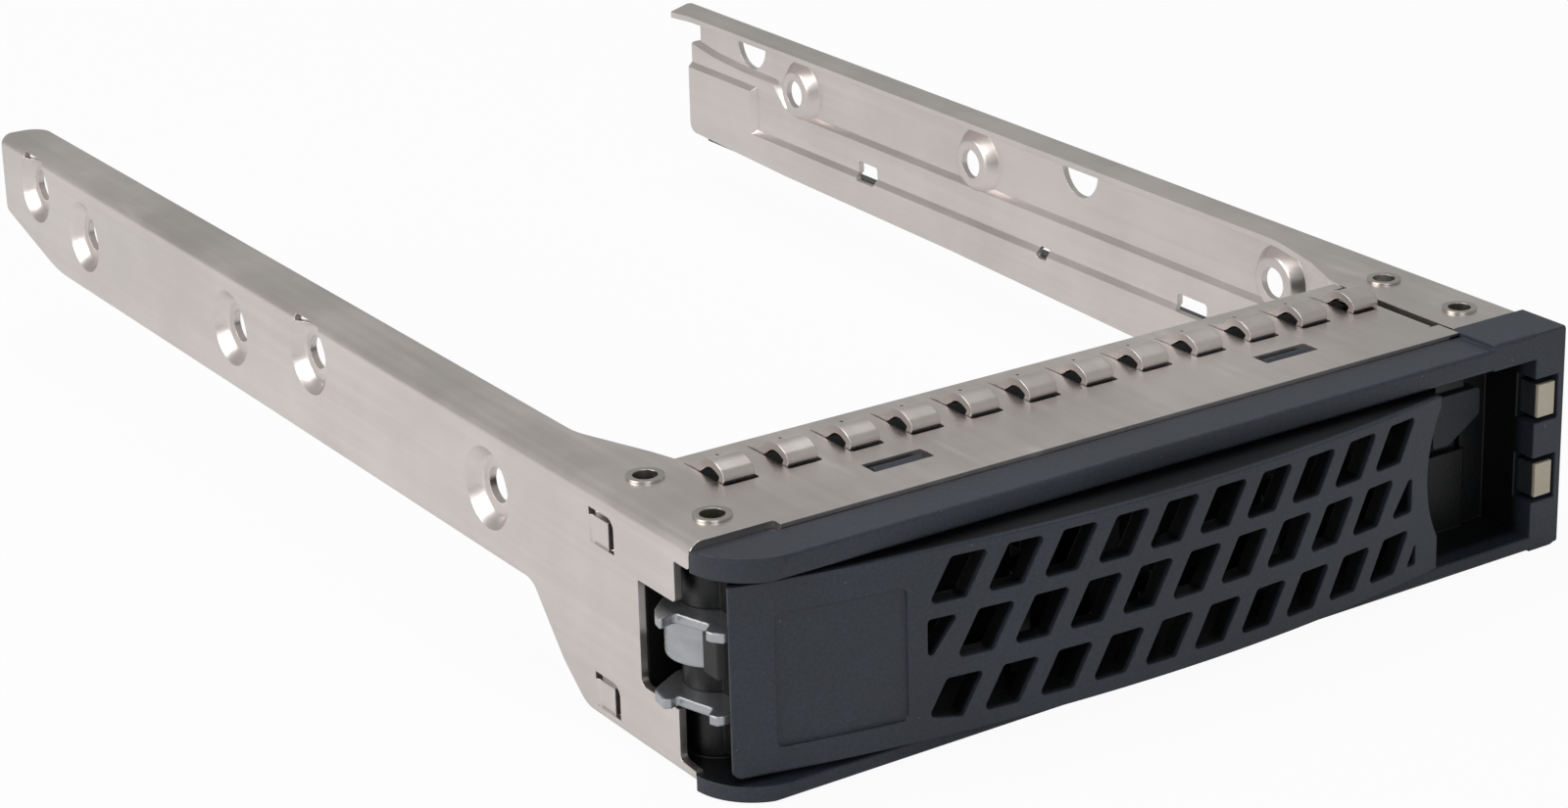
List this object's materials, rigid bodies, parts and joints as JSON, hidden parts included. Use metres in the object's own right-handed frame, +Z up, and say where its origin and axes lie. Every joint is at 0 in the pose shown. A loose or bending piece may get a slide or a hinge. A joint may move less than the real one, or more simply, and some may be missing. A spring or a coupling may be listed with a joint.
{
  "type": "hot swap drive caddy",
  "caption": "Hot swap caddy for a 3.5 inch drive: folded steel arms and finger plate, black bezel, grilled lever with steel jaws.",
  "frame": {"origin": "under the middle of the bounding box, on the bottom plane of the bezel", "axes": "+X across the arms to the latch side, +Y from the lever to the rear ends of the arms, +Z up to the finger plate"},
  "size_m": [0.1077, 0.1792, 0.027],
  "materials": {
    "zinc_steel": "zinc plated sheet, satin",
    "black_plastic": "fine textured black plastic",
    "jaw_steel": "stamped steel, satin",
    "rivet_steel": "formed rivet, satin",
    "pale_plastic": "milky light pipe plastic",
    "screen_steel": "black painted sheet",
    "screw_steel": "dark plated screws",
    "washer_nylon": "black nylon",
    "bush_acetal": "black acetal bush",
    "spring_steel": "blackened spring wire and leaf",
    "grey_plastic": "dark grey plastic"
  },
  "bodies": {
    "carrier": {"left_arm_plate": "zinc_steel", "right_arm": "zinc_steel", "bezel": "black_plastic", "frame_eyelets": "rivet_steel", "foot_eyelet": "rivet_steel", "hinge_rivet": "rivet_steel", "hinge_washers": "washer_nylon", "light_pipe_upper": "pale_plastic", "light_pipe_lower": "pale_plastic", "emi_screen": "screen_steel", "screen_screws": "screw_steel", "kick_spring": "spring_steel", "kick_spring_rivet": "rivet_steel", "latch_spring": "spring_steel"},
    "lever": {"lever_grip": "black_plastic", "jaw_upper": "jaw_steel", "jaw_lower": "jaw_steel", "jaw_pins": "rivet_steel", "lever_bush": "bush_acetal", "lever_strike": "jaw_steel", "strike_screw": "screw_steel"},
    "latch": {"latch": "grey_plastic"}
  },
  "joints": [
    {"name": "lever_hinge", "type": "hinge", "parent": "carrier", "child": "lever", "pos_m": [-0.0468, -0.07465, 0.0121], "axis": [0, 0, -1], "range_deg": [0, 42]},
    {"name": "latch_slide", "type": "slide", "parent": "carrier", "child": "latch", "axis": [0, 0, -1], "range_m": [0, 0.0022], "stiffness_N_per_m": 300, "springref_m": -0.001, "deforming": ["latch_spring"]}
  ]
}
